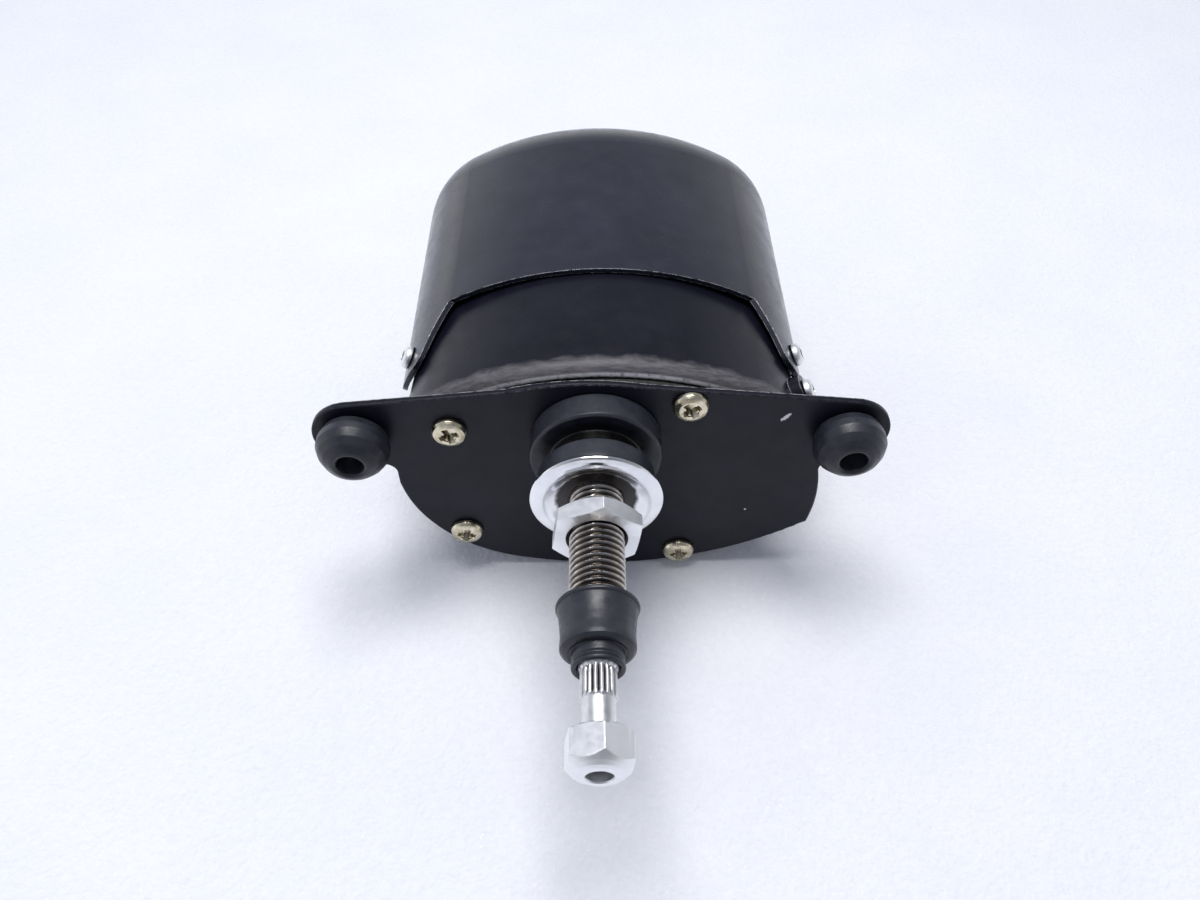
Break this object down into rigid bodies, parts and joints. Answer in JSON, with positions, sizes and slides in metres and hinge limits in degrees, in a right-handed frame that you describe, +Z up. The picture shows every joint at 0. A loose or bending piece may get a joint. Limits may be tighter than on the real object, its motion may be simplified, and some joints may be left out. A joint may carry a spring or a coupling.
{
  "type": "wiper motor",
  "caption": "Windscreen wiper motor: domed black cover, gear case, eared mounting plate with rubber grommets, and a geared spindle that sweeps a wiper arm.",
  "frame": {"origin": "on the spindle's axis at the front face of the mounting plate", "axes": "-Y points out along the spindle, +Y back along the motor, +Z up towards the plate's arched edge, +X right as seen from the spindle's end"},
  "size_m": [0.133, 0.2007, 0.071],
  "materials": {
    "cover_paint": "semi-gloss black paint over drawn steel",
    "case_paint": "satin black paint, dusty at the front corner",
    "plate_paint": "satin black paint, bare at the scuffed edges",
    "rubber": "matt black moulded rubber",
    "gasket": "grey-brown sheet gasket",
    "yellow_zinc": "yellow-passivated zinc",
    "zinc": "bright zinc plate",
    "chrome": "bright chrome plate",
    "bush_nickel": "turned steel, dull nickel tone",
    "spindle_steel": "ground and knurled steel",
    "gear_steel": "hobbed steel",
    "gear_plastic": "moulded natural acetal",
    "stud_steel": "ground steel",
    "cast_plate": "die-cast aluminium",
    "yoke_steel": "zinc-plated drawn steel",
    "magnet": "ferrite",
    "lamination": "stacked electrical steel",
    "copper": "enamelled copper",
    "bronze": "sintered bronze",
    "insulator": "phenolic board",
    "carbon": "carbon graphite"
  },
  "bodies": {
    "housing": {"mount_plate": "plate_paint", "plate_gasket": "gasket", "gear_case": "case_paint", "motor_cover": "cover_paint", "cover_screw_left": "zinc", "cover_screw_right": "zinc", "earth_screw": "zinc", "grommet_left": "rubber", "grommet_right": "rubber", "spindle_bush": "bush_nickel", "panel_seal": "rubber", "cup_washer": "chrome", "mounting_nut": "zinc", "dust_boot": "rubber", "plate_screw_1": "yellow_zinc", "plate_screw_2": "yellow_zinc", "plate_screw_3": "yellow_zinc", "plate_screw_4": "yellow_zinc", "sector_stud": "stud_steel", "sector_clip": "stud_steel", "wheel_stud": "stud_steel", "wheel_clip": "stud_steel", "reduction_stud": "stud_steel", "reduction_clip": "stud_steel", "bearing_plate": "cast_plate", "park_contact": "insulator", "motor_yoke": "yoke_steel", "magnet_lower": "magnet", "magnet_upper": "magnet", "motor_bolt_left": "zinc", "motor_bolt_right": "zinc", "front_bearing": "bronze", "rear_bearing": "bronze", "brush_card": "insulator", "brush_left": "carbon", "brush_right": "carbon", "brush_spring_left": "stud_steel", "brush_spring_right": "stud_steel", "wire_grommet": "rubber"},
    "spindle_group": {"spindle": "spindle_steel", "arm_nut": "zinc", "spindle_pinion": "gear_steel", "spindle_clip_front": "stud_steel", "spindle_clip_rear": "stud_steel"},
    "sector_group": {"sector_gear": "gear_steel", "link_pin": "stud_steel", "link_clip": "stud_steel"},
    "link_group": {"link_rod": "zinc"},
    "crank_group": {"crank_wheel": "gear_plastic", "crank_pin": "stud_steel"},
    "reduction_group": {"reduction_gear": "gear_plastic", "reduction_pinion": "gear_steel"},
    "armature_group": {"armature_shaft": "spindle_steel", "motor_pinion": "gear_steel", "armature_core": "lamination", "armature_windings": "copper", "commutator": "copper"}
  },
  "joints": [
    {"name": "spindle_sweep", "type": "hinge", "parent": "housing", "child": "spindle_group", "pos_m": [0, 0, 0], "axis": [0, 1, 0], "range_deg": [-52.5, 52.5]},
    {"name": "sector_swing", "type": "hinge", "parent": "housing", "child": "sector_group", "pos_m": [-0.02819, 0, -0.01026], "axis": [0, 1, 0], "range_deg": [-17.5, 17.5]},
    {"name": "link_turn", "type": "hinge", "parent": "sector_group", "child": "link_group", "pos_m": [-0.02135, 0, -0.02905], "axis": [0, 1, 0], "range_deg": [-17.5, 17.5]},
    {"name": "armature_spin", "type": "hinge", "parent": "housing", "child": "armature_group", "pos_m": [0.0025, 0, -0.013], "axis": [0, 1, 0], "continuous": true},
    {"name": "reduction_spin", "type": "hinge", "parent": "housing", "child": "reduction_group", "pos_m": [0.02478, 0, -0.01613], "axis": [0, 1, 0], "continuous": true},
    {"name": "crank_spin", "type": "hinge", "parent": "housing", "child": "crank_group", "pos_m": [-0.00055, 0, -0.02198], "axis": [0, 1, 0], "continuous": true}
  ],
  "couplings": [
    {"joint": "sector_swing", "follows": "spindle_sweep", "ratio": -0.33333},
    {"joint": "link_turn", "follows": "spindle_sweep", "ratio": 0.33333},
    {"joint": "reduction_spin", "follows": "armature_spin", "ratio": -0.25},
    {"joint": "crank_spin", "follows": "armature_spin", "ratio": 0.075}
  ]
}
